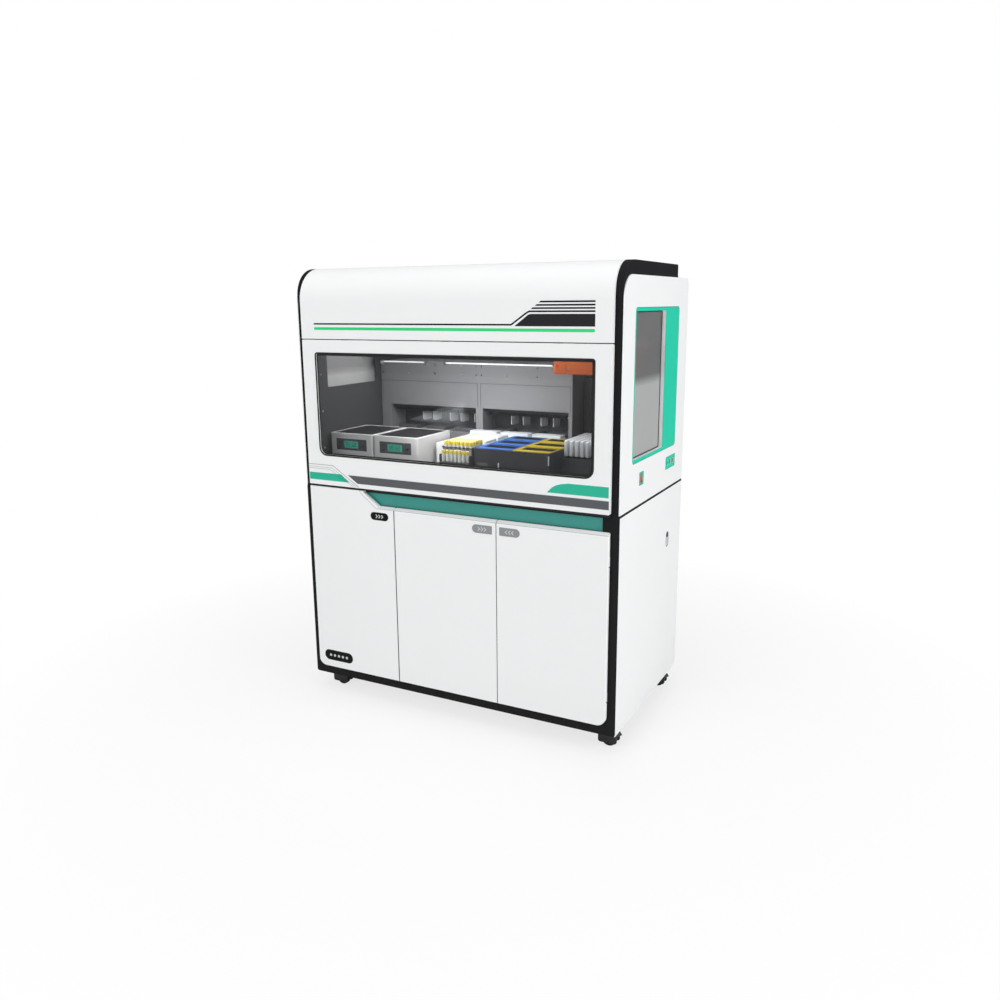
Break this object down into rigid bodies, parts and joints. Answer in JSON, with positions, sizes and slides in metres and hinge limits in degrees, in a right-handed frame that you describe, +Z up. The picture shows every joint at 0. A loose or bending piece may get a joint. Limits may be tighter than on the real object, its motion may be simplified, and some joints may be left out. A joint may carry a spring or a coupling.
{
  "type": "nucleic acid extractor",
  "caption": "Floor-standing automated nucleic acid extraction workstation: glazed lift-up hood over a pipetting deck, on a castered base cabinet with hinged doors.",
  "frame": {"origin": "on the floor, under the middle of the cabinet's bounding box", "axes": "+Z up; the doors and the hood face -Y; +X to the right of someone facing the doors"},
  "size_m": [1.15, 0.652, 1.485],
  "materials": {
    "frame_black": "satin",
    "panel_white": "satin",
    "cheek_grey": "satin",
    "liner_dark": "matte",
    "teal": "satin",
    "bezel_green": "gloss",
    "station_grey": "satin",
    "zinc_sheet": "brushed",
    "steel": "brushed",
    "aluminium": "satin",
    "stage_white": "satin",
    "heater_grey": "satin",
    "plate_black": "matte",
    "display_dark": "gloss",
    "rack_clear": "matte",
    "tube_yellow": "matte",
    "carrier_dark": "matte",
    "rack_blue": "matte",
    "rack_yellow": "matte",
    "strip_white": "matte",
    "arm_orange": "satin",
    "nozzle_dark": "matte",
    "window_glass": "clear",
    "bin_grey": "matte",
    "unit_grey": "satin",
    "caster_black": "matte",
    "wheel_rubber": "matte",
    "rocker_red": "gloss",
    "latch_black": "gloss",
    "lever_grey": "satin"
  },
  "bodies": {
    "cabinet": {"base_frame": "frame_black", "base_floor_pan": "zinc_sheet", "base_side_panel_left": "panel_white", "base_side_panel_right": "panel_white", "base_back_panel": "panel_white", "base_top_plate": "frame_black", "grip_recess_panel": "teal", "door_hinge_arms": "frame_black", "power_supply_unit": "aluminium", "controller_unit": "unit_grey", "waste_bin": "bin_grey", "side_frame_left": "cheek_grey", "side_frame_right": "cheek_grey", "upper_side_panel_left": "panel_white", "upper_side_panel_right": "panel_white", "side_bezels": "bezel_green", "side_window_panes": "window_glass", "header_panel": "panel_white", "roof_panel": "panel_white", "upper_back_panel": "panel_white", "liner_left": "liner_dark", "liner_right": "liner_dark", "liner_back": "liner_dark", "deck_plate": "liner_dark", "hood_hinge_rail": "frame_black", "station_left": "station_grey", "station_right": "station_grey", "station_brackets": "steel", "plate_stage": "stage_white", "heater_housings": "heater_grey", "heater_top_plates": "plate_black", "heater_displays": "display_dark", "tube_rack": "rack_clear", "capped_tubes": "tube_yellow", "tip_rack_carrier": "carrier_dark", "tip_racks_blue": "rack_blue", "tip_racks_yellow": "rack_yellow", "strip_rack_tray": "carrier_dark", "strip_racks": "strip_white", "x_rail_beam": "aluminium", "side_latch_body": "latch_black", "caster_plates": "steel"},
    "hood": {"hood_frame": "panel_white", "hood_window": "window_glass"},
    "left_door": {"base_door_left": "panel_white"},
    "middle_door": {"base_door_middle": "panel_white"},
    "right_door": {"base_door_right": "panel_white"},
    "arm": {"arm_carriage": "arm_orange"},
    "head": {"pipette_head": "arm_orange", "pipette_nozzles": "nozzle_dark"},
    "rocker": {"switch_rocker": "rocker_red"},
    "latch_lever": {"side_latch_lever": "lever_grey"},
    "fork_left_front": {"caster_fork_left_front": "caster_black"},
    "wheel_left_front": {"caster_wheel_left_front": "wheel_rubber"},
    "fork_left_back": {"caster_fork_left_back": "caster_black"},
    "wheel_left_back": {"caster_wheel_left_back": "wheel_rubber"},
    "fork_right_front": {"caster_fork_right_front": "caster_black"},
    "wheel_right_front": {"caster_wheel_right_front": "wheel_rubber"},
    "fork_right_back": {"caster_fork_right_back": "caster_black"},
    "wheel_right_back": {"caster_wheel_right_back": "wheel_rubber"}
  },
  "joints": [
    {"name": "hood_lift", "type": "hinge", "parent": "cabinet", "child": "hood", "pos_m": [0, -0.319, 1.247], "axis": [-1, 0, 0], "range_deg": [0, 80]},
    {"name": "left_door_hinge", "type": "hinge", "parent": "cabinet", "child": "left_door", "pos_m": [-0.542, -0.319, 0.403], "axis": [0, 0, -1], "range_deg": [0, 100]},
    {"name": "middle_door_hinge", "type": "hinge", "parent": "cabinet", "child": "middle_door", "pos_m": [-0.1965, -0.319, 0.403], "axis": [0, 0, -1], "range_deg": [0, 100]},
    {"name": "right_door_hinge", "type": "hinge", "parent": "cabinet", "child": "right_door", "pos_m": [0.542, -0.319, 0.403], "axis": [0, 0, 1], "range_deg": [0, 100]},
    {"name": "arm_slide", "type": "slide", "parent": "cabinet", "child": "arm", "axis": [-1, 0, 0], "range_m": [0, 0.72]},
    {"name": "head_slide", "type": "slide", "parent": "arm", "child": "head", "axis": [0, 0, -1], "range_m": [0, 0.11]},
    {"name": "rocker_tilt", "type": "hinge", "parent": "cabinet", "child": "rocker", "pos_m": [0.5695, -0.1205, 0.84], "axis": [0, 1, 0], "range_deg": [0, 10]},
    {"name": "latch_pull", "type": "hinge", "parent": "cabinet", "child": "latch_lever", "pos_m": [0.5725, 0.175, 0.5805], "axis": [0, -1, 0], "range_deg": [0, 60]},
    {"name": "swivel_left_front", "type": "hinge", "parent": "cabinet", "child": "fork_left_front", "pos_m": [-0.52, -0.25, 0.05], "axis": [0, 0, 1], "continuous": true},
    {"name": "roll_left_front", "type": "hinge", "parent": "fork_left_front", "child": "wheel_left_front", "pos_m": [-0.503, -0.25, 0.025], "axis": [0, 1, 0], "continuous": true},
    {"name": "swivel_left_back", "type": "hinge", "parent": "cabinet", "child": "fork_left_back", "pos_m": [-0.52, 0.25, 0.05], "axis": [0, 0, 1], "continuous": true},
    {"name": "roll_left_back", "type": "hinge", "parent": "fork_left_back", "child": "wheel_left_back", "pos_m": [-0.503, 0.25, 0.025], "axis": [0, 1, 0], "continuous": true},
    {"name": "swivel_right_front", "type": "hinge", "parent": "cabinet", "child": "fork_right_front", "pos_m": [0.52, -0.25, 0.05], "axis": [0, 0, 1], "continuous": true},
    {"name": "roll_right_front", "type": "hinge", "parent": "fork_right_front", "child": "wheel_right_front", "pos_m": [0.537, -0.25, 0.025], "axis": [0, 1, 0], "continuous": true},
    {"name": "swivel_right_back", "type": "hinge", "parent": "cabinet", "child": "fork_right_back", "pos_m": [0.52, 0.25, 0.05], "axis": [0, 0, 1], "continuous": true},
    {"name": "roll_right_back", "type": "hinge", "parent": "fork_right_back", "child": "wheel_right_back", "pos_m": [0.537, 0.25, 0.025], "axis": [0, 1, 0], "continuous": true}
  ]
}
